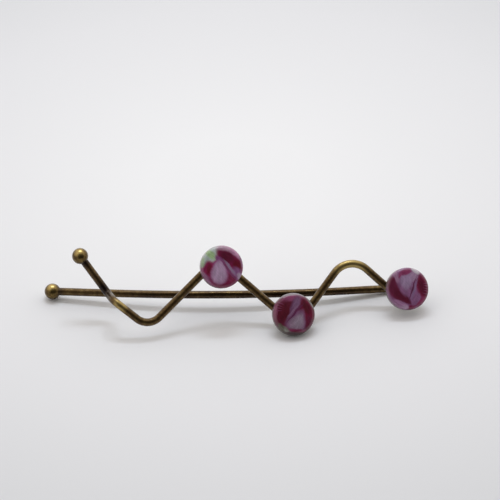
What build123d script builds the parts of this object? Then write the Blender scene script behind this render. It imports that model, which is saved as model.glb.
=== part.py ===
from build123d import *
from math import cos, pi, tan, radians
import os

# Hairpin of one bent brass wire, with a ball on each tip and three small china discs, lying on a table.
# Sizes are in millimetres. The pin is shaped first with +X along it towards its U-bend, +Y across the zigzag
# and +Z out of the zigzag towards the discs. At the end it is laid on the table, with +Z up.

# Wire and the balls on its tips
wire_diameter = 1.7
ball_diameter = 3.5
socket_clearance = 0.03
socket_end_gap = 0.10

# Straight arm: from the U-bend it leans towards the zigzag, then bows away from it
straight_length = 74.4
bow_distance = 36.4
bow_lean = 2.0
bow_sag = 1.24
bow_radius = 140.0
tip_opening = 15.0

# U-bend between the arms, seen from the side
arm_gap = 5.3
u_bend_flat = 0.6
u_bend_reach = 2.5

# Zigzag arm
zigzag_length = 69.1
zigzag_height = 15.0
zigzag_stand = 1.2
tip_step = 5.5
bend_radius = 3.5
most_bent = 0.98  # the largest share of a straight run that the bends at its two ends may take up

# Round pads soldered on the front of the zigzag, and the china discs glued on them
pad_diameter = 8.0
pad_thickness = 0.8
solder_sink = 0.25
disc_diameter = 9.3
disc_thickness = 2.2
disc_edge_radius = 0.7
disc_back_chamfer = 0.15
glue_gap = 0.05

# How often the table is laid again under the points that touch it, which settles long before this
settling_rounds = 40

wire_radius = wire_diameter / 2
ball_radius = ball_diameter / 2
pad_radius = pad_diameter / 2
disc_radius = disc_diameter / 2
u_bend_radius = (arm_gap - u_bend_flat) / 2

# Corners of the zigzag arm, counted from the U-bend: distance along the arm as a share of zigzag_length, height
# as a share of zigzag_height, stand towards the discs as a share of zigzag_stand, step back towards the
# straight arm as a share of tip_step, and radius as a share of bend_radius
zigzag_corners = {
    # name: (along, height, stand, step, radius)
    "start": (0.022, -0.026, 0.0, 0.0, 0.85),
    "crest": (0.158, 0.535, 0.0, 0.0, 1.40),
    "lower_bend": (0.332, -0.506, 1.0, 0.0, 1.00),
    "upper_bend": (0.576, 0.487, 0.0, 0.0, 1.00),
    "trough": (0.794, -0.492, 0.0, 0.0, 1.03),
    "step_front": (0.902, -0.095, 0.0, 0.0, 0.57),
    "step_back": (0.910, -0.026, 0.0, 1.0, 0.57),
}
# The zigzag arm's ball, in the same shares
zigzag_ball = (1.0, 0.542, 0.0, 0.83)

# Pads on the zigzag's bends: the corner that each is soldered on, its inset from the bend towards the middle
# line and its shift along the pin as shares of pad_diameter, and how far its face is tipped up, in degrees
pad_seats = {
    # name: (corner, inset, shift, tip)
    "first": ("upper_bend", 0.075, 0.063, 6.0),
    "second": ("lower_bend", 0.095, -0.084, 14.0),
}
# The end pad lies over the U-bend: inset from the bend's outermost line as a share of pad_diameter, and tip
end_pad_inset = 0.126
end_pad_tip = 6.0


def zigzag_point(along, height, stand, step):
    """Point of the zigzag arm's centre line."""
    forward = stand * zigzag_stand - step * tip_step
    return Vector(-along * zigzag_length, height * zigzag_height, forward)


def turn_at(points, index):
    """Angle in degrees by which the line through three neighbouring points turns."""
    return (points[index] - points[index - 1]).get_angle(points[index + 1] - points[index])


def fitted_radii(points, wanted):
    """The wanted bend radii, each made smaller where a run is too short for the bends at its two ends."""
    tangents = [0.0]
    for index, radius in enumerate(wanted, start=1):
        tangents.append(radius * tan(radians(turn_at(points, index) / 2)))
    tangents.append(0.0)
    shares = []
    for index in range(len(points) - 1):
        room = most_bent * (points[index + 1] - points[index]).length
        shares.append(min(1.0, room / (tangents[index] + tangents[index + 1])))
    return [radius * min(shares[index], shares[index + 1]) for index, radius in enumerate(wanted)]


def bend_middle(points, index, radius):
    """Middle of the arc that rounds a corner."""
    back = (points[index - 1] - points[index]).normalized()
    ahead = (points[index + 1] - points[index]).normalized()
    depth = radius * (1 / cos(radians(turn_at(points, index) / 2)) - 1)
    return points[index] + (back + ahead).normalized() * depth


def wire_route():
    """Corner points and bend radii of the whole wire, from the straight arm's ball to the zigzag arm's ball."""
    straight_ball = Vector(-straight_length, 0, -tip_opening)
    points = [
        straight_ball,
        Vector(-bow_distance, -bow_sag, -arm_gap + bow_lean),
        Vector(u_bend_reach, 0, -arm_gap),
        Vector(u_bend_reach, 0, 0),
    ]
    radii = [bow_radius, u_bend_radius, u_bend_radius]
    for along, height, stand, step, radius in zigzag_corners.values():
        points.append(zigzag_point(along, height, stand, step))
        radii.append(radius * bend_radius)
    points.append(zigzag_point(*zigzag_ball))
    return points, fitted_radii(points, radii)


def ball_axis(points, tip):
    """Frame of a tip ball: origin at its centre, +Z along the wire that enters it."""
    centre, neighbour = (points[0], points[1]) if tip == "straight" else (points[-1], points[-2])
    return Plane(origin=centre, z_dir=neighbour - centre)


def wire_solid(points, radii):
    """The bent wire, whose ends stop just short of the middle of the balls."""
    line = list(points)
    line[0] = ball_axis(points, "straight").from_local_coords(Vector(0, 0, socket_end_gap))
    line[-1] = ball_axis(points, "zigzag").from_local_coords(Vector(0, 0, socket_end_gap))
    path = FilletPolyline(*line, radius=radii)
    section = Plane(origin=path @ 0, z_dir=path % 0) * Circle(wire_radius)
    wire = sweep(section, path=path)
    print("wire length", round(path.length, 2), "volume", round(wire.volume, 2))
    print("section times length", round(pi * wire_radius**2 * path.length, 2))
    return wire


def tip_ball(frame):
    """Ball with a blind hole from its middle out to the wire's side."""
    ball = Sphere(ball_radius)
    hole = Cylinder(
        wire_radius + socket_clearance, ball_diameter, align=(Align.CENTER, Align.CENTER, Align.MIN)
    )
    return frame * (ball - hole)


def pad_frames(points, radii):
    """Frame of each pad: origin at the middle of its back face, +Z towards the china disc."""
    back = wire_radius - solder_sink
    before_zigzag = len(points) - len(zigzag_corners) - 1
    frames = {}
    for name, (corner, inset, shift, tip) in pad_seats.items():
        index = before_zigzag + list(zigzag_corners).index(corner)
        middle = bend_middle(points, index, radii[index - 1])
        inwards = -1 if points[index].Y > 0 else 1
        centre = middle + Vector(shift * pad_diameter, inwards * inset * pad_diameter, back)
        frames[name] = Plane(Plane(origin=centre) * Rotation(-tip, 0, 0))
    centre = Vector(u_bend_reach - end_pad_inset * pad_diameter, 0, back)
    frames["end"] = Plane(Plane(origin=centre) * Rotation(-end_pad_tip, 0, 0))
    return frames


def pad():
    """Plain round pad on its own frame."""
    return Cylinder(pad_radius, pad_thickness, align=(Align.CENTER, Align.CENTER, Align.MIN))


def china_disc():
    """Ground china disc on its pad's frame, with a rounded front edge and a small chamfer at the back."""
    bottom = pad_thickness + glue_gap
    disc = Pos(0, 0, bottom) * Cylinder(
        disc_radius, disc_thickness, align=(Align.CENTER, Align.CENTER, Align.MIN)
    )
    front_edge = disc.edges().filter_by(GeomType.CIRCLE).sort_by(Axis.Z)[-1]
    disc = fillet(front_edge, min(disc_edge_radius, disc_thickness / 2))
    back_edge = disc.edges().filter_by(GeomType.CIRCLE).sort_by(Axis.Z)[0]
    return chamfer(back_edge, disc_back_chamfer)


def lowest_rim_point(frame, up):
    """The lowest point that the pad and the china disc on one frame have under a given up direction."""
    out = (up - frame.z_dir * up.dot(frame.z_dir)).normalized()
    seat = pad_thickness + glue_gap
    rims = [(pad_radius, 0), (disc_radius - disc_back_chamfer, seat), (disc_radius, seat + disc_back_chamfer)]
    points = [frame.origin - out * radius + frame.z_dir * height for radius, height in rims]
    return min(points, key=up.dot)


def resting_up(ball_centre, frames):
    """Up direction of the table that touches the straight arm's ball, the second disc and the pin's right end.

    At the right end the table touches the end disc or the U-bend, whichever is lower.
    """
    bend_centre = Vector(u_bend_reach - u_bend_radius, 0, u_bend_radius - arm_gap)
    up = Vector(0, 1, 1).normalized()
    for _ in range(settling_rounds):
        under_bend = bend_centre - Vector(up.X, 0, up.Z).normalized() * u_bend_radius - up * wire_radius
        left = ball_centre - up * ball_radius
        middle = lowest_rim_point(frames["second"], up)
        right = min(lowest_rim_point(frames["end"], up), under_bend, key=up.dot)
        up = (middle - left).cross(right - left).normalized()
        if up.Y < 0:
            up = -up
    return up


def laid_down(pieces, up):
    """The pieces turned so that up is +Z and the pin runs along +X, with the origin under their middle."""
    table = Plane(origin=(0, 0, 0), x_dir=Vector(1, 0, 0) - up * up.X, z_dir=up)
    turned = {name: table.location.inverse() * piece for name, piece in pieces.items()}
    boxes = [piece.bounding_box() for piece in turned.values()]
    low = [min(tuple(box.min)[axis] for box in boxes) for axis in range(3)]
    high = [max(tuple(box.max)[axis] for box in boxes) for axis in range(3)]
    shift = Pos(-(low[0] + high[0]) / 2, -(low[1] + high[1]) / 2, -low[2])
    return {name: shift * piece for name, piece in turned.items()}


def pin_pieces():
    """All the pieces by name, in the frame that the pin is shaped in, and the table's up direction there."""
    points, radii = wire_route()
    print("bend radii", [round(radius, 2) for radius in radii])
    frames = pad_frames(points, radii)
    frame_solid = wire_solid(points, radii)
    for frame in frames.values():
        frame_solid += frame * pad()
    pieces = {
        "wire_frame": frame_solid,
        "tip_ball_straight": tip_ball(ball_axis(points, "straight")),
        "tip_ball_zigzag": tip_ball(ball_axis(points, "zigzag")),
    }
    for name, frame in frames.items():
        pieces["china_disc_" + name] = frame * china_disc()
    return pieces, resting_up(points[0], frames)


pieces, up = pin_pieces()
print("table's up direction", tuple(round(value, 3) for value in up))
os.makedirs("parts", exist_ok=True)
for name, piece in laid_down(pieces, up).items():
    export_step(piece, f"parts/{name}.step")
    box = piece.bounding_box()
    print(name, "from", tuple(round(v, 2) for v in box.min), "to", tuple(round(v, 2) for v in box.max))
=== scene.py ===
import math

import bpy
import numpy as np
from mathutils import Matrix, Vector


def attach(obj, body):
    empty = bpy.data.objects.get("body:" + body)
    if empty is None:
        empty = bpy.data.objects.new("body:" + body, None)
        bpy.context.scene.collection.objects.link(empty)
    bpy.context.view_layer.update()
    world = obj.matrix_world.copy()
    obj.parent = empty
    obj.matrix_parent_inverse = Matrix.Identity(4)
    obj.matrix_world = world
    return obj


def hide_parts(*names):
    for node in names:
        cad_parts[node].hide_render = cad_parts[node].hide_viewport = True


# A hairpin of antique brass wire with three small printed china discs, lying on a pale table.
# Lengths are in metres, as the frame's are. MM turns a size in millimetres into metres.
MM = 0.001

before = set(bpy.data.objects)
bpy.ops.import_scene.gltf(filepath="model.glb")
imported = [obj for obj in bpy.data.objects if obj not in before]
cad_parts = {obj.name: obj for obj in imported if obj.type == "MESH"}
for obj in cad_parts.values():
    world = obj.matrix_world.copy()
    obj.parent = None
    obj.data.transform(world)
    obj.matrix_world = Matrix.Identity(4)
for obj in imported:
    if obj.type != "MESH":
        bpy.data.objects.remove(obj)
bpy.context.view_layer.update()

# Camera: where it stands, how far it looks down, is turned to the right and is rolled in degrees,
# its lens and sensor in millimetres, and the nearest and the farthest that it sees
CAMERA_PLACE = Vector((-49.47, -418.35, 340.71)) * MM
CAMERA_DOWN = 37.567
CAMERA_TURN = 7.134
CAMERA_ROLL = -0.444
LENS = 178.2
SENSOR_WIDTH = 36.0
NEAREST, FARTHEST = 0.01, 20.0

# Strip box over the pin: where it hangs, its length along the pin, its width across it, its power
STRIP_PLACE = Vector((0.06, 0.39, 0.92))
STRIP_LENGTH = 0.5
STRIP_WIDTH = 0.10
STRIP_POWER = 2.25
STRIP_COLOUR = "#e9f3ff"

# Pale room with one dark side, towards the camera: which way that is, and how bright both are
ROOM_COLOUR = "#fffcf8"
DARK_SIDE = (0.1, -0.86, 0.5)
ROOM_DARK = 0.08
ROOM_PALE = 0.97
# Where the dark side begins and where it is darkest, as the cosine of the angle from its middle
DARK_BEGINS, DARKEST = 0.46, 0.88
# How much brighter the room is behind the pin, and the same cosine where that is full and ends
ROOM_BACK = 1.35
BACK_FULL, BACK_ENDS = -0.6, 0.4

# Table: its width, and the middle of the pool of light painted on its card, with how far from it
# that painted light is full and where it is gone
TABLE_WIDTH = 6.0
LIGHT_POOL_MIDDLE = Vector((5.0, 46.0, 0.0)) * MM
POOL_FULL_REACH, POOL_GONE_REACH = 20 * MM, 135 * MM
PAINTED_POOL_COLOURS = [(0.0, "#f4f4f6"), (0.5, "#e8e8eb"), (1.0, "#d4d5d8")]
CARD_ROUGHNESS = 0.85

# Brass: the sizes in millimetres of its worn patches and of its specks, how much the specks count,
# how much duller the dark patches are, how much smoother the straight arm is, the colours of its
# grime and of its blacking, which on the straight arm also paints shade, and how strong and how
# rough its lacquer is
PATCH_SIZE = 0.9
SPECK_SIZE = 0.35
SPECK_SHARE = 0.5
DULLER_PATCHES = 0.12
ARM_POLISH = 0.11
GRIME_COLOUR = "#221714"
BLACKING_AND_SHADE_COLOUR = "#281811"
LACQUER, LACQUER_ROUGHNESS = 0.3, 0.2
# Places on it in millimetres, each with how far it reaches: rubbed bright by hair and fingers on
# the crest and the tip's elbow, a painted highlight on the top of each ball, and grimy beside that
# elbow and where the balls begin
RUBBED_AND_HIGHLIGHTS = [(24.9, 0.4, 10.0, 6.0), (-25.6, -4.3, 7.9, 2.5),
          (-39.8, 9.5, 3.4, 1.5), (-33.5, 5.5, 15.5, 1.6)]
GRIMY = [(-29.0, 2.4, 7.0, 4.2), (-38.0, 9.5, 1.9, 1.7), (-32.4, 5.3, 12.6, 2.1)]
# Where the straight arm has kept its blacking all round, with painted shade darkening it further
# on its underside, and where it is smoother
ARM_BLACKING_AND_SHADE = [(-19.0, 3.8, 3.3, 7.0), (-12.0, 3.1, 3.2, 7.0), (-5.0, 2.2, 3.2, 7.0),
           (2.0, 1.5, 3.1, 7.0), (9.0, 1.1, 2.9, 7.0), (16.0, 1.0, 2.5, 7.0),
           (23.0, 1.2, 2.0, 7.0)]

# China disc's shape, in millimetres: how far its rounded edge reaches in, how far that edge stays
# below the middle of the front, and how unevenly round it is ground
EDGE_REACH = 0.95
DOME_RISE = 0.12
UNEVENNESS = 0.02
# Waves of its outline: how many go round, how strong they are, and how often its turn counts
OUTLINE_WAVES = [(2, 0.6, 1), (5, 0.4, 2)]
# Rings of its back and straight side: share of the radius, then inset and height in millimetres
BACK_RINGS = [(0.3, 0.0, 0.0), (0.7, 0.0, 0.0), (1.0, 0.2, 0.0), (1.0, 0.15, 0.01),
              (1.0, 0.01, 0.14), (1.0, 0.0, 0.18), (1.0, 0.0, 0.5)]
# How many rings the rounded edge and the domed front have, and the dome's first and last as shares
# of its reach, then the points of each ring
EDGE_RINGS, DOME_RINGS = 12, 12
DOME_FIRST, DOME_LAST = 0.92, 0.04
RING_POINTS = 160

# China disc's paint: the direction that the right-hand side of its print faces, the size in
# millimetres and the reach in disc radii of its petals' wavering, and the spacing in millimetres
# of its hatching
PRINT_RIGHT = Vector((0.992, -0.124, 0.0))
WAVER_SIZE = 1.6
WAVER_REACH = 0.14
HATCH_SPACING = 0.449
# A wave texture of scale 1 has its diagonal bands this far apart
BAND_SPACING = 2 * math.pi / (10 * math.sqrt(2))
# Brush streaks run along each petal and grow with it. On the large petals they are about 0.5 mm
# wide, and at least three times as long
STREAK_STRETCH = (1.0, 3.0, 1.0)
STREAK_SCALE = 1.3
# Where the worn rim begins, as the square of the radius, how much it covers, and its colours from
# its lowest point to its highest, painted shade at the bottom and painted light at the top
RIM_BEGINS = 0.84
RIM_SHARE = 0.40
RIM_SHADE_TO_LIGHT = [(0.0, "#3a2a28"), (0.5, "#7c6672"), (1.0, "#9a8894")]
# How far in millimetres print and glaze cover the straight side, and where they are gone
GLAZE_FULL, GLAZE_GONE = 0.5, 0.75
GLAZE_ROUGHNESS, BARE_ROUGHNESS = 0.16, 0.7
# Bare side: its colours, the colour of the painted shade on its underside, and the size in
# millimetres of its stains
BARE_COLOURS = [(0.35, "#5a5244"), (0.65, "#8c8474")]
BARE_SIDE_SHADE = "#251d1b"
STAIN_SIZE = 0.9
# Size in millimetres of the waves in the glaze
GLAZE_WAVE_SIZE = 1.8

# Colours of the printed roses that are used more than once, before the glaze
BURGUNDY = "#741a42"
DEEP = "#5a162f"
MAROON = "#521122"

# Each disc: its print's ground colour, how its outline is turned, and the height in millimetres of
# its straight side. Then the petals and leaves of its print, from the lowest coat to the last.
# Places are in disc radii from the middle: right, up, half length, half width, turn in degrees,
# widening towards the far end, bend, softness, colour
PRINTS = {
    "china_disc_first": ("#8f3f6c", 11, 1.2, [
        # pale corner with leaves
        (-0.62, 0.64, 0.78, 0.42, 45, 0.0, 0.0, 0.45, "#b2bbb8"),
        (-0.55, 0.58, 0.30, 0.15, -35, 0.2, 0.2, 0.80, "#9ab485"),
        (-0.93, 0.18, 0.24, 0.12, 80, 0.0, 0.0, 0.80, "#93a886"),
        (0.02, 0.97, 0.16, 0.06, 0, 0.0, 0.0, 0.70, "#a3b493"),
        # upper petal, with its pale rolled edge
        (0.35, 0.46, 0.66, 0.50, -38, 0.0, 0.0, 0.45, "#832850"),
        (0.36, 0.38, 0.62, 0.42, -38, 0.0, 0.0, 0.60, BURGUNDY),
        (0.22, 0.45, 0.34, 0.26, -30, 0.0, 0.0, 0.80, DEEP),
        (0.70, 0.06, 0.28, 0.18, -60, 0.0, 0.0, 0.80, "#641226"),
        (0.16, 0.90, 0.40, 0.15, -8, 0.0, 0.6, 1.0, "#b08ca2"),
        (0.62, 0.63, 0.36, 0.13, -46, 0.0, 0.0, 1.0, "#b47ea0"),
        (0.93, 0.25, 0.35, 0.08, -75, 0.0, 0.0, 0.80, "#8c5c80"),
        # lilac petal at the right
        (0.74, -0.36, 0.36, 0.22, -55, 0.0, 0.0, 0.80, "#885684"),
        (0.84, -0.50, 0.22, 0.12, -60, 0.0, 0.0, 0.80, "#b096b0"),
        # left and lower petals
        (-0.66, -0.12, 0.38, 0.23, 80, 0.0, 0.0, 0.50, "#81214a"),
        (-0.62, -0.10, 0.22, 0.12, 80, 0.0, 0.0, 0.80, "#6c1830"),
        (-0.74, -0.52, 0.36, 0.12, -52, 0.0, 0.5, 0.70, "#8c5a7c"),
        (0.02, -0.80, 0.60, 0.20, 2, 0.0, -1.2, 0.70, "#741c42"),
        (0.42, -0.54, 0.26, 0.15, -50, 0.0, 0.0, 0.80, "#7a2a4a"),
        # large lilac petal
        (-0.10, 0.28, 0.30, 0.13, -50, 0.0, 0.0, 0.80, "#84487a"),
        (-0.14, -0.22, 0.55, 0.37, 92, -0.35, 0.0, 0.45, "#98648c"),
        (-0.14, -0.26, 0.48, 0.31, 92, -0.30, 0.0, 0.70, "#b092b0"),
        # light sliver and dark line
        (0.36, -0.05, 0.44, 0.060, -53, 0.0, 0.0, 0.90, "#8f7694"),
        (0.29, -0.16, 0.62, 0.036, -53, 0.0, 0.0, 0.95, "#744064"),
    ]),
    "china_disc_second": ("#5e1a34", 23, 0.85, [
        # upper and left petals, with brush strokes
        (-0.12, 0.74, 0.56, 0.16, 10, 0.0, 0.9, 0.85, "#8a4468"),
        (-0.48, 0.04, 0.54, 0.36, 75, 0.0, 0.0, 0.80, MAROON),
        (-0.88, 0.05, 0.42, 0.08, 87, 0.0, 0.0, 0.90, "#7b3c56"),
        (-0.70, 0.46, 0.18, 0.020, -24, 0.0, 0.0, 0.90, "#7c3a58"),
        (-0.75, 0.34, 0.18, 0.020, -17, 0.0, 0.0, 0.90, "#763450"),
        (-0.78, 0.22, 0.17, 0.020, -10, 0.0, 0.0, 0.90, "#7c3a58"),
        (-0.79, 0.10, 0.17, 0.020, -4, 0.0, 0.0, 0.90, "#703050"),
        # narrow lilac petal
        (0.00, 0.32, 0.52, 0.18, 63, 0.5, 0.0, 0.80, "#623c5a"),
        (0.08, 0.48, 0.28, 0.14, 60, 0.3, 0.0, 0.85, "#745271"),
        # right petal
        (0.60, 0.12, 0.62, 0.25, -70, 0.0, 0.0, 0.50, "#6a1432"),
        (0.55, 0.28, 0.34, 0.17, -70, 0.0, 0.0, 0.80, MAROON),
        (0.78, -0.40, 0.32, 0.13, -60, 0.0, 0.0, 0.80, "#5e1e38"),
        # large lilac petal
        (0.12, -0.37, 0.58, 0.42, 63, -0.45, 0.0, 0.45, "#744e6c"),
        (0.14, -0.42, 0.42, 0.30, 63, -0.40, 0.0, 0.80, "#867183"),
        (0.20, -0.36, 0.28, 0.17, 63, -0.20, 0.0, 0.90, "#8b7a8b"),
        # lower petal and leaf
        (0.12, -0.90, 0.42, 0.15, 0, 0.0, -0.6, 0.60, "#742a4c"),
        (0.12, -0.92, 0.22, 0.09, 0, 0.0, 0.0, 0.90, "#60162f"),
        (-0.46, -0.84, 0.28, 0.15, -34, 0.0, 0.0, 0.95, "#82827a"),
        (-0.62, -0.68, 0.22, 0.10, -50, 0.0, 0.0, 0.95, "#5a5446"),
        # light sliver and dark line
        (-0.06, 0.10, 0.42, 0.055, 50, 0.0, 0.0, 0.90, "#7d5977"),
        (0.02, 0.00, 0.58, 0.036, 49, 0.0, 0.0, 0.95, "#592348"),
        # worn rim at the right and at the top, partly a painted highlight, and painted shade at the
        # bottom
        (0.80, 0.50, 0.34, 0.06, -58, 0.0, 0.8, 0.90, "#7c7876"),
        (-0.08, 0.94, 0.66, 0.10, 4, 0.0, 2.0, 0.80, "#847a81"),
        (0.10, -1.00, 0.70, 0.10, 4, 0.0, -2.0, 0.90, "#34121d"),
    ]),
    "china_disc_end": ("#8a5a84", 37, 1.36, [
        # left petals
        (-0.64, 0.00, 0.66, 0.33, -66, 0.0, 0.0, 0.50, "#621e3a"),
        (-0.45, -0.30, 0.36, 0.18, -60, 0.0, 0.0, 0.85, DEEP),
        (-0.16, -0.45, 0.40, 0.16, -45, 0.0, 0.0, 0.65, DEEP),
        # right and lower petals
        (0.72, 0.08, 0.64, 0.32, -76, 0.0, 0.0, 0.50, "#701c3c"),
        (0.68, 0.05, 0.38, 0.16, -76, 0.0, 0.0, 0.85, DEEP),
        (0.62, -0.62, 0.32, 0.17, 40, 0.0, 0.0, 0.65, "#843458"),
        (0.16, -0.86, 0.22, 0.11, 20, 0.0, 0.0, 0.70, BURGUNDY),
        # large lilac petal
        (-0.08, 0.22, 0.56, 0.45, 90, 0.35, 0.0, 0.45, "#875a80"),
        (0.20, 0.54, 0.28, 0.20, 45, 0.0, 0.0, 0.60, "#a0809e"),
        (-0.10, 0.32, 0.34, 0.28, 90, 0.20, 0.0, 0.85, "#9a80a0"),
        # upper petals and the white corner between them
        (-0.12, 0.78, 0.32, 0.13, 15, 0.0, 0.0, 0.70, "#84365c"),
        (-0.40, 0.62, 0.16, 0.07, 60, 0.0, 0.0, 0.90, "#8a4066"),
        (-0.56, 0.55, 0.28, 0.10, -75, 0.0, 0.0, 0.80, "#98708e"),
        (0.36, 0.84, 0.22, 0.11, -40, 0.0, 0.0, 0.70, "#beb4be"),
        # small lilac petal, light sliver and dark line
        (0.36, -0.50, 0.32, 0.16, 60, 0.0, 0.0, 0.60, "#84587e"),
        (0.30, -0.06, 0.46, 0.055, 74, 0.0, 0.0, 0.90, "#84668a"),
        (0.21, -0.02, 0.58, 0.036, 73, 0.0, 0.0, 0.95, "#5a2846"),
        # lilac petal at the lower left
        (-0.42, -0.74, 0.38, 0.18, -25, 0.0, 0.0, 0.45, "#9c7094"),
        (-0.15, -0.86, 0.16, 0.08, -10, 0.0, 0.0, 0.80, "#ae8caa"),
        # brush strokes at the right
        (0.86, 0.24, 0.14, 0.020, 14, 0.0, 0.0, 0.90, "#7e4062"),
        (0.89, 0.12, 0.13, 0.020, 6, 0.0, 0.0, 0.90, "#8a4c6e"),
        (0.89, 0.01, 0.14, 0.018, 0, 0.0, 0.0, 0.90, "#844668"),
        (0.88, -0.11, 0.13, 0.018, -6, 0.0, 0.0, 0.90, "#7e4062"),
        (0.85, -0.24, 0.14, 0.018, -14, 0.0, 0.0, 0.90, "#783c5c"),
    ]),
}

# Settings that several nodes have, and the sockets of a Mix node of colours, by number because
# their names are used twice
MULTIPLY = {"operation": "MULTIPLY"}
MULTIPLY_ADD = {"operation": "MULTIPLY_ADD"}
SMOOTH_STEP = {"interpolation_type": "SMOOTHSTEP"}
COLOURS = {"data_type": "RGBA"}
SHARE, UNDER, OVER, MIXED = 0, 6, 7, 2


def linear(hex_colour):
    """An sRGB hex colour as linear red, green, blue and alpha."""
    steps = [int(hex_colour[i:i + 2], 16) / 255 for i in (1, 3, 5)]
    light = [s / 12.92 if s <= 0.04045 else ((s + 0.055) / 1.055) ** 2.4 for s in steps]
    return (*light, 1.0)


def add(tree, kind, settings=None, sockets=None, stops=()):
    """Adds a shader node. A socket, by name or number, gets a value or another node's output.

    Stops are the (position, hex colour) pairs of a colour ramp.
    """
    node = tree.nodes.new("ShaderNode" + kind)
    for name, value in (settings or {}).items():
        setattr(node, name, value)
    for name, value in (sockets or {}).items():
        if isinstance(value, bpy.types.NodeSocket):
            tree.links.new(value, node.inputs[name])
        else:
            node.inputs[name].default_value = value
    for index, (position, colour) in enumerate(stops):
        ramp = node.color_ramp.elements
        stop = ramp[index] if index < len(ramp) else ramp.new(position)
        stop.position = position
        stop.color = linear(colour)
    return node


def new_material(name):
    """A material with an empty node tree."""
    material = bpy.data.materials.new(name)
    material.use_nodes = True
    material.node_tree.nodes.clear()
    return material, material.node_tree


def nearness(tree, place, spots):
    """1 at each of some places in millimetres, and 0 from its reach outwards."""
    nearest = 0.0
    for *spot, reach in spots:
        away = add(tree, "VectorMath", {"operation": "DISTANCE"}, {
            0: place, 1: Vector(spot) * MM}).outputs["Value"]
        near = add(tree, "MapRange", SMOOTH_STEP, {
            "Value": away, "From Max": reach * MM, "To Min": 1.0, "To Max": 0.0}).outputs[0]
        nearest = add(tree, "Math", {"operation": "MAXIMUM"}, {0: near, 1: nearest}).outputs[0]
    return nearest


def antique_brass(name, dark, worn, bright, gold, smooth, polish):
    """Drawn brass, blackened, rubbed back and lacquered.

    The eye sees a brown skin with gold where it is rubbed and as painted highlights on the balls'
    tops, black in its corners, painted shade under the straight arm, and a soft pale shine on top.
    Smooth is its roughness, and polish is how much less that is where it is rubbed and where
    highlights are painted.
    """
    material, tree = new_material(name)
    place = add(tree, "TexCoord").outputs["Object"]
    patches = add(tree, "TexNoise", sockets={
        "Vector": place, "Scale": 1 / (PATCH_SIZE * MM), "Detail": 3.0,
        "Roughness": 0.55}).outputs["Fac"]
    specks = add(tree, "TexNoise", sockets={
        "Vector": place, "Scale": 1 / (SPECK_SIZE * MM), "Detail": 2.0,
        "Roughness": 0.6}).outputs["Fac"]
    mixed = add(tree, "Math", MULTIPLY_ADD, {0: specks, 1: SPECK_SHARE, 2: patches}).outputs[0]
    colour = add(tree, "ValToRGB", sockets={"Fac": mixed},
                 stops=[(0.55, dark), (0.75, worn), (0.95, bright)]).outputs[0]

    # Gold where it is rubbed, and painted highlights on the tops of the balls
    rubbed_and_highlit = add(tree, "Math", MULTIPLY, {
        0: nearness(tree, place, RUBBED_AND_HIGHLIGHTS), 1: mixed}).outputs[0]
    grimy = add(tree, "Math", MULTIPLY, {0: nearness(tree, place, GRIMY), 1: mixed}).outputs[0]
    for patchy, begins, full, skin in ((rubbed_and_highlit, 0.05, 0.6, gold), (grimy, 0.1, 0.7, GRIME_COLOUR)):
        share = add(tree, "MapRange", sockets={
            "Value": patchy, "From Min": begins, "From Max": full}).outputs[0]
        colour = add(tree, "Mix", COLOURS, {
            SHARE: share, UNDER: colour, OVER: linear(skin)}).outputs[MIXED]

    normal = add(tree, "NewGeometry").outputs["Normal"]
    facing_up = add(tree, "SeparateXYZ", sockets={0: normal}).outputs["Z"]
    # Painted shade: the straight arm is blackened more the more its surface faces down
    shade_below = add(tree, "MapRange", sockets={
        "Value": facing_up, "From Min": 0.9, "From Max": -0.1,
        "To Min": 0.22, "To Max": 0.9}).outputs[0]
    on_arm = nearness(tree, place, ARM_BLACKING_AND_SHADE)
    blacking_and_shade = add(tree, "Math", MULTIPLY, {0: on_arm, 1: shade_below}).outputs[0]
    colour = add(tree, "Mix", COLOURS, {
        SHARE: blacking_and_shade, UNDER: colour, OVER: linear(BLACKING_AND_SHADE_COLOUR)}).outputs[MIXED]

    rough = add(tree, "MapRange", sockets={
        "Value": patches, "From Min": 0.3, "From Max": 0.7,
        "To Min": smooth + DULLER_PATCHES, "To Max": smooth}).outputs[0]
    for where, smoother in ((rubbed_and_highlit, polish), (on_arm, ARM_POLISH)):
        rough = add(tree, "Math", MULTIPLY_ADD, {0: where, 1: -smoother, 2: rough}).outputs[0]
    bump = add(tree, "Bump", sockets={
        "Strength": 0.35, "Distance": 0.02 * MM, "Height": specks}).outputs["Normal"]
    shader = add(tree, "BsdfPrincipled", sockets={
        "Base Color": colour, "Metallic": 1.0, "Roughness": rough, "Normal": bump,
        "Coat Weight": LACQUER, "Coat Roughness": LACQUER_ROUGHNESS})
    add(tree, "OutputMaterial", sockets={"Surface": shader.outputs["BSDF"]})
    return material


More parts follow.
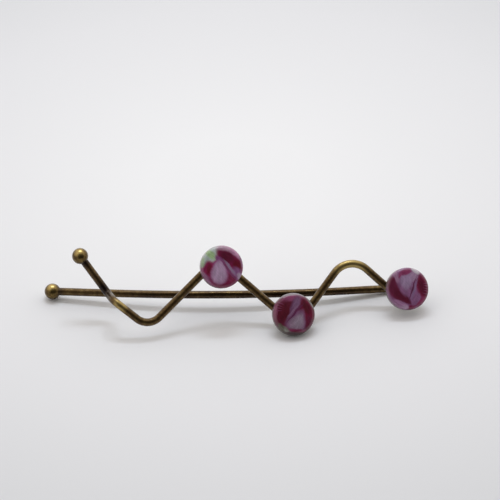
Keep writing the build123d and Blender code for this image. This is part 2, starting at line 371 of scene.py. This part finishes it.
def petal(tree, spot, under, shape):
    """Paints a petal, leaf or line over a colour: an oval that may widen, bend and fade out."""
    right, up, length, width, turn, widening, bend, softness, colour = shape
    laid = add(tree, "Mapping", {"vector_type": "TEXTURE"}, {
        "Vector": spot, "Location": (right, up, 0.0), "Rotation": (0.0, 0.0, math.radians(turn)),
        "Scale": (length, width, 1.0)}).outputs[0]
    along, aside, _ = add(tree, "SeparateXYZ", sockets={0: laid}).outputs
    square = add(tree, "Math", MULTIPLY, {0: along, 1: along}).outputs[0]
    bent = add(tree, "Math", MULTIPLY_ADD, {0: square, 1: bend, 2: aside}).outputs[0]
    girth = add(tree, "Math", MULTIPLY_ADD, {0: along, 1: widening, 2: 1.0}).outputs[0]
    across = add(tree, "Math", {"operation": "DIVIDE"}, {0: bent, 1: girth}).outputs[0]
    reach = add(tree, "Math", MULTIPLY_ADD, {0: across, 1: across, 2: square}).outputs[0]
    share = add(tree, "MapRange", SMOOTH_STEP, {
        "Value": reach, "From Min": 1.0 - softness, "From Max": 1.0 + softness,
        "To Min": 1.0, "To Max": 0.0}).outputs[0]

    drawn_out = add(tree, "VectorMath", MULTIPLY, {0: laid, 1: STREAK_STRETCH}).outputs[0]
    streaks = add(tree, "TexNoise", sockets={
        "Vector": drawn_out, "Scale": STREAK_SCALE, "Detail": 2.0}).outputs["Fac"]
    tone = add(tree, "MapRange", sockets={
        "Value": streaks, "From Min": 0.25, "From Max": 0.75,
        "To Min": 0.75, "To Max": 1.25}).outputs[0]
    brushed = add(tree, "HueSaturation", sockets={
        "Value": tone, "Color": linear(colour)}).outputs[0]
    return add(tree, "Mix", COLOURS, {SHARE: share, UNDER: under, OVER: brushed}).outputs[MIXED]


def printed_rose(tree, place, spot, radius, ground, petals):
    """The print's colour: wavering petals on their ground, with the printing plate's hatching."""
    waver = add(tree, "TexNoise", sockets={
        "Vector": place, "Scale": 1 / (WAVER_SIZE * MM), "Detail": 2.0}).outputs["Color"]
    shaken = add(tree, "VectorMath", MULTIPLY_ADD, {
        0: waver, 1: (WAVER_REACH, WAVER_REACH, 0.0), 2: spot}).outputs[0]
    shaken = add(tree, "VectorMath", {"operation": "SUBTRACT"}, {
        0: shaken, 1: (WAVER_REACH / 2, WAVER_REACH / 2, 0.0)}).outputs[0]
    colour = linear(ground)
    for shape in petals:
        colour = petal(tree, shaken, colour, shape)

    # The real hatching, 0.1 mm apart, wouldn't show, so it is drawn more than four times as coarse
    hatching = add(tree, "TexWave", {"bands_direction": "DIAGONAL"}, {
        "Vector": shaken, "Scale": BAND_SPACING * radius / (HATCH_SPACING * MM),
        "Distortion": 4.0, "Detail": 1.0, "Detail Scale": 1.5}).outputs["Fac"]
    tone = add(tree, "MapRange", sockets={
        "Value": hatching, "To Min": 0.95, "To Max": 1.05}).outputs[0]
    return add(tree, "HueSaturation", sockets={"Value": tone, "Color": colour}).outputs[0]


def printed_china(name, disc_frame):
    """Bone china with a transfer-printed rose under clear glaze, cut round and ground at its side.

    The eye sees soft painted petals under a smooth wet shine, a worn paler rim with painted light
    at its top and painted shade at its bottom, and a matt side with painted shade underneath.
    """
    ground, _, side_height, petals = PRINTS[name]
    axes, seat, radius, _ = disc_frame
    material, tree = new_material("printed_" + name)
    place = add(tree, "TexCoord").outputs["Object"]
    spot = add(tree, "Mapping", {"vector_type": "TEXTURE"}, {
        "Vector": place, "Location": seat, "Rotation": axes.to_euler(),
        "Scale": (radius,) * 3}).outputs[0]
    right, up, forward = add(tree, "SeparateXYZ", sockets={0: spot}).outputs
    colour = printed_rose(tree, place, spot, radius, ground, petals)

    square = add(tree, "Math", MULTIPLY, {0: right, 1: right}).outputs[0]
    outwards = add(tree, "Math", MULTIPLY_ADD, {0: up, 1: up, 2: square}).outputs[0]
    share = add(tree, "MapRange", SMOOTH_STEP, {
        "Value": outwards, "From Min": RIM_BEGINS, "To Max": RIM_SHARE}).outputs[0]
    # Painted light and shade: the rim is darker towards the bottom of the disc and paler towards
    # its top
    height = add(tree, "MapRange", sockets={
        "Value": up, "From Min": -0.8, "From Max": 0.8}).outputs[0]
    rim_lit_and_shaded = add(tree, "ValToRGB", sockets={"Fac": height}, stops=RIM_SHADE_TO_LIGHT).outputs[0]
    colour = add(tree, "Mix", COLOURS, {SHARE: share, UNDER: colour, OVER: rim_lit_and_shaded}).outputs[MIXED]

    stains = add(tree, "TexNoise", sockets={
        "Vector": place, "Scale": 1 / (STAIN_SIZE * MM), "Detail": 4.0}).outputs["Fac"]
    bare = add(tree, "ValToRGB", sockets={"Fac": stains}, stops=BARE_COLOURS).outputs[0]
    # Painted shade: the bare side darkens towards the bottom of the disc
    bare = add(tree, "Mix", COLOURS, {
        SHARE: height, UNDER: linear(BARE_SIDE_SHADE), OVER: bare}).outputs[MIXED]
    glazed = add(tree, "MapRange", SMOOTH_STEP, {
        "Value": forward, "From Min": (side_height - GLAZE_GONE) * MM / radius,
        "From Max": (side_height - GLAZE_FULL) * MM / radius}).outputs[0]
    colour = add(tree, "Mix", COLOURS, {SHARE: glazed, UNDER: bare, OVER: colour}).outputs[MIXED]
    rough = add(tree, "MapRange", sockets={
        "Value": glazed, "To Min": BARE_ROUGHNESS, "To Max": GLAZE_ROUGHNESS}).outputs[0]
    waves = add(tree, "TexNoise", sockets={
        "Vector": place, "Scale": 1 / (GLAZE_WAVE_SIZE * MM), "Detail": 1.0}).outputs["Fac"]
    bump = add(tree, "Bump", sockets={
        "Strength": 0.5, "Distance": 0.03 * MM, "Height": waves}).outputs["Normal"]
    shader = add(tree, "BsdfPrincipled", sockets={
        "Base Color": colour, "Roughness": rough, "IOR": 1.5, "Normal": bump})
    add(tree, "OutputMaterial", sockets={"Surface": shader.outputs["BSDF"]})
    return material


def white_card():
    """Matt white card with a painted pool of light, palest just behind the pin, duller further out.
    """
    material, tree = new_material("white_card")
    place = add(tree, "TexCoord").outputs["Object"]
    # Painted light: the card is paler the nearer it is to the pool's middle
    away = add(tree, "VectorMath", {"operation": "DISTANCE"}, {
        0: place, 1: LIGHT_POOL_MIDDLE}).outputs["Value"]
    share = add(tree, "MapRange", sockets={
        "Value": away, "From Min": POOL_FULL_REACH, "From Max": POOL_GONE_REACH}).outputs[0]
    colour = add(tree, "ValToRGB", sockets={"Fac": share}, stops=PAINTED_POOL_COLOURS).outputs[0]
    shader = add(tree, "BsdfPrincipled", sockets={
        "Base Color": colour, "Roughness": CARD_ROUGHNESS})
    add(tree, "OutputMaterial", sockets={"Surface": shader.outputs["BSDF"]})
    return material


def frame_of_disc(node):
    """A china disc's right, up and forward as a matrix, its back's middle, radius and thickness."""
    forward = max(node.data.polygons, key=lambda face: face.area).normal.copy()
    if forward.y > 0:
        forward.negate()
    right = (PRINT_RIGHT - forward * PRINT_RIGHT.dot(forward)).normalized()
    axes = Matrix((right, forward.cross(right), forward)).transposed()
    points = np.array([vertex.co for vertex in node.data.vertices]) @ np.array(axes)
    low, high = points.min(axis=0), points.max(axis=0)
    seat = axes @ Vector(((low[0] + high[0]) / 2, (low[1] + high[1]) / 2, low[2]))
    return axes, seat, (high[0] - low[0]) / 2, high[2] - low[2]


def disc_profile(radius, thickness, side_height):
    """Radius and height of each ring of a china disc, from its back over its side to its front."""
    rings = [(share * radius - inset * MM, height * MM) for share, inset, height in BACK_RINGS]
    edge_start = side_height * MM
    edge_height = thickness - DOME_RISE * MM - edge_start
    for turn in np.linspace(0.0, math.pi / 2, EDGE_RINGS):
        inset = EDGE_REACH * MM * (1 - math.cos(turn))
        rings.append((radius - inset, edge_start + edge_height * math.sin(turn)))
    for share in np.linspace(DOME_FIRST, DOME_LAST, DOME_RINGS):
        drop = DOME_RISE * MM * share ** 2
        rings.append((share * (radius - EDGE_REACH * MM), thickness - drop))
    return rings


def china_disc(name, disc_frame, paint):
    """A china disc: domed front, rounded edge, and an outline ground slightly uneven."""
    axes, seat, radius, thickness = disc_frame
    _, phase, side_height, _ = PRINTS[name]
    turns = np.linspace(0.0, 2 * math.pi, RING_POINTS, endpoint=False)
    waves = sum((strength * np.sin(count * turns + times * phase)
                 for count, strength, times in OUTLINE_WAVES), start=1)
    outline = 1 - UNEVENNESS * MM / radius * waves
    places = [(0.0, 0.0, 0.0)]
    for reach, height in disc_profile(radius, thickness, side_height):
        places += [(reach * share * math.cos(turn), reach * share * math.sin(turn), height)
                   for turn, share in zip(turns, outline)]
    places.append((0.0, 0.0, thickness))

    last = len(places) - 1
    faces = []
    for here in range(RING_POINTS):
        after = (here + 1) % RING_POINTS
        faces.append((0, 1 + after, 1 + here))
        for ring in range(1, last - RING_POINTS, RING_POINTS):
            above = ring + RING_POINTS
            faces.append((ring + here, ring + after, above + after, above + here))
        faces.append((last - RING_POINTS + here, last - RING_POINTS + after, last))

    mesh = bpy.data.meshes.new(name + "_glazed")
    mesh.from_pydata([seat + axes @ Vector(point) for point in places], [], faces)
    mesh.polygons.foreach_set("use_smooth", [True] * len(mesh.polygons))
    mesh.materials.append(paint)
    disc = bpy.data.objects.new(name + "_glazed", mesh)
    bpy.context.collection.objects.link(disc)
    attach(disc, "root")
    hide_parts(name)


def make_table():
    """The pale table top that the pin lies on."""
    bpy.ops.mesh.primitive_plane_add(size=TABLE_WIDTH, location=(0, 0, 0))
    table = bpy.context.object
    table.name = "table_top"
    table.data.materials.append(white_card())


def make_strip_box():
    """A long soft light that hangs over the pin and points at it."""
    light = bpy.data.lights.new("strip_box", "AREA")
    light.shape = "RECTANGLE"
    light.size = STRIP_LENGTH
    light.size_y = STRIP_WIDTH
    light.energy = STRIP_POWER
    light.color = linear(STRIP_COLOUR)[:3]
    lamp = bpy.data.objects.new("strip_box", light)
    bpy.context.collection.objects.link(lamp)
    lamp.location = STRIP_PLACE
    lamp.rotation_euler = STRIP_PLACE.to_track_quat("Z", "Y").to_euler()


def make_room():
    """A pale room around the table, with a dark side in front, and brightest behind."""
    room = bpy.data.worlds.new("room")
    bpy.context.scene.world = room
    room.use_nodes = True
    tree = room.node_tree
    tree.nodes.clear()
    way = add(tree, "TexCoord").outputs["Generated"]
    to_front = add(tree, "VectorMath", {"operation": "DOT_PRODUCT"}, {
        0: way, 1: DARK_SIDE}).outputs["Value"]
    glow = add(tree, "MapRange", SMOOTH_STEP, {
        "Value": to_front, "From Min": DARK_BEGINS, "From Max": DARKEST,
        "To Min": ROOM_PALE, "To Max": ROOM_DARK}).outputs[0]
    behind = add(tree, "MapRange", sockets={
        "Value": to_front, "From Min": BACK_FULL, "From Max": BACK_ENDS,
        "To Min": ROOM_BACK, "To Max": 1.0}).outputs[0]
    glow = add(tree, "Math", MULTIPLY, {0: glow, 1: behind}).outputs[0]
    sky = add(tree, "Background", sockets={"Color": linear(ROOM_COLOUR), "Strength": glow})
    add(tree, "OutputWorld", sockets={"Surface": sky.outputs[0]})


def make_camera():
    """The camera, which looks down on the pin from the side of its china discs."""
    camera = bpy.data.cameras.new("camera")
    camera.sensor_width = SENSOR_WIDTH
    camera.lens = LENS
    camera.clip_start = NEAREST
    camera.clip_end = FARTHEST
    holder = bpy.data.objects.new("camera", camera)
    bpy.context.collection.objects.link(holder)
    turn = Matrix.Rotation(math.radians(-CAMERA_TURN), 3, "Z")
    tilt = Matrix.Rotation(math.radians(90 - CAMERA_DOWN), 3, "X")
    roll = Matrix.Rotation(math.radians(CAMERA_ROLL), 3, "Z")
    holder.location = CAMERA_PLACE
    holder.rotation_euler = (turn @ tilt @ roll).to_euler()
    bpy.context.scene.camera = holder


wire_brass = antique_brass(
    "antique_brass_wire", dark="#46331b", worn="#544022", bright="#6b5733", gold="#a28c56",
    smooth=0.33, polish=0.07)
# On the balls the gold paints their highlights
ball_brass = antique_brass(
    "antique_brass_balls", dark="#48351a", worn="#5c4923", bright="#756234", gold="#b39a5e",
    smooth=0.235, polish=0.03)
for name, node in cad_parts.items():
    material = ball_brass if "ball" in name else wire_brass
    if name in PRINTS:
        disc_frame = frame_of_disc(node)
        material = printed_china(name, disc_frame)
        china_disc(name, disc_frame, material)
    node.data.materials.clear()
    node.data.materials.append(material)
make_table()
make_strip_box()
make_room()
make_camera()
bpy.context.scene.view_settings.view_transform = "Standard"
